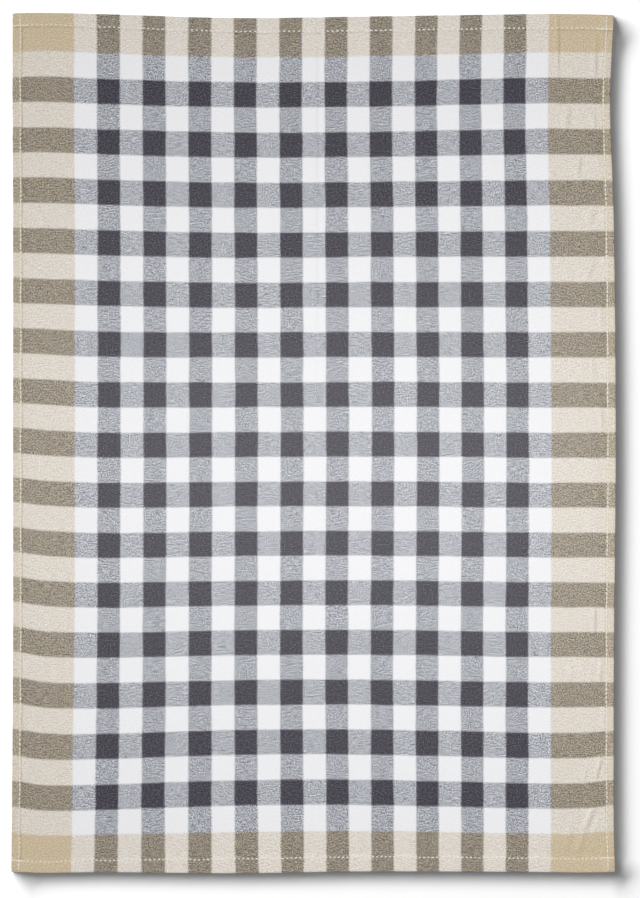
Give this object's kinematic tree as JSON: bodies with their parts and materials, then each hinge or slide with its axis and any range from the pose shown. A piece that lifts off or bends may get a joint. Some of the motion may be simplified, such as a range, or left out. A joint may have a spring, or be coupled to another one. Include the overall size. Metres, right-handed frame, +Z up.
{
  "type": "tea towel",
  "caption": "Flat cotton tea towel laid face up, a woven check field with plain borders and a turned, stitched hem along every side.",
  "frame": {"origin": "under the middle of the towel, on the surface that it lies on", "axes": "+X across the towel from its left side to its right, +Y up its length, +Z up towards the viewer"},
  "size_m": [0.4976, 0.7078, 0.0034],
  "materials": {
    "cotton_twill": "matt yarn-dyed twill: a white and charcoal check with a tan border on every side",
    "sewing_thread": "cream cotton sewing thread, slightly lustrous"
  },
  "bodies": {
    "root": {"towel": "cotton_twill"}
  },
  "joints": []
}
